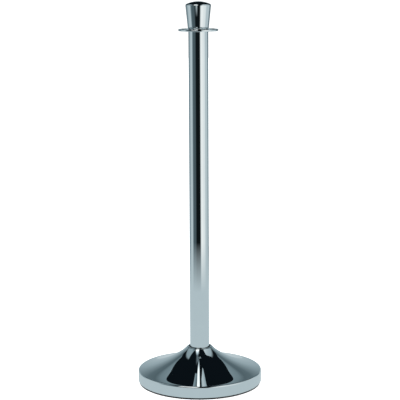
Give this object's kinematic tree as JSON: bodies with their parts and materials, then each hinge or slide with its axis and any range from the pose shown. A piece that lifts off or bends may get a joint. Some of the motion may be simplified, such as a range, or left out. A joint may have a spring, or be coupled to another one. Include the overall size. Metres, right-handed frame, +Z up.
{
  "type": "rope stanchion",
  "caption": "Free-standing chrome rope stanchion with a flared weighted base, plain tube, slotted rope ring and a screw-on crown knob.",
  "frame": {"origin": "on the floor, at the post's axis: the bottom centre of the object's box", "axes": "+Z up along the post; a rope slot of the ring lies on each of +X, -X, +Y and -Y at rest"},
  "size_m": [0.319, 0.319, 0.98],
  "materials": {
    "polished_chrome": "mirror-bright chrome plate on steel",
    "cast_iron": "rough grey sand casting",
    "zinc_steel": "dull zinc-plated steel",
    "black_rubber": "matt black rubber",
    "natural_nylon": "natural nylon, slightly waxy",
    "black_nylon": "moulded black nylon",
    "brass": "turned brass"
  },
  "bodies": {
    "post": {"base_cover": "polished_chrome", "base_weight": "cast_iron", "bottom_plate": "zinc_steel", "plate_screws": "zinc_steel", "floor_ring": "black_rubber", "neck_grommet": "black_rubber", "post_tube": "polished_chrome", "bottom_plug": "zinc_steel", "post_bolt": "zinc_steel", "spring_washer": "zinc_steel", "flat_washer": "zinc_steel", "locating_pins": "zinc_steel", "top_plug": "zinc_steel", "head_stud": "zinc_steel", "lower_glide": "natural_nylon"},
    "ring": {"rope_ring": "polished_chrome"},
    "washer": {"upper_glide": "natural_nylon"},
    "knob": {"knob_shell": "polished_chrome", "knob_core": "black_nylon", "knob_insert": "brass"}
  },
  "joints": [
    {"name": "ring_turn", "type": "hinge", "parent": "post", "child": "ring", "pos_m": [0, 0, 0.909], "axis": [0, 0, 1], "continuous": true},
    {"name": "knob_lift", "type": "slide", "parent": "post", "child": "washer", "axis": [0, 0, 1], "range_m": [0, 0.015]},
    {"name": "knob_turn", "type": "hinge", "parent": "washer", "child": "knob", "pos_m": [0, 0, 0.946], "axis": [0, 0, 1], "range_deg": [0, 3600]}
  ],
  "couplings": [
    {"joint": "knob_lift", "follows": "knob_turn", "m_per_rad": 0.00023873}
  ]
}
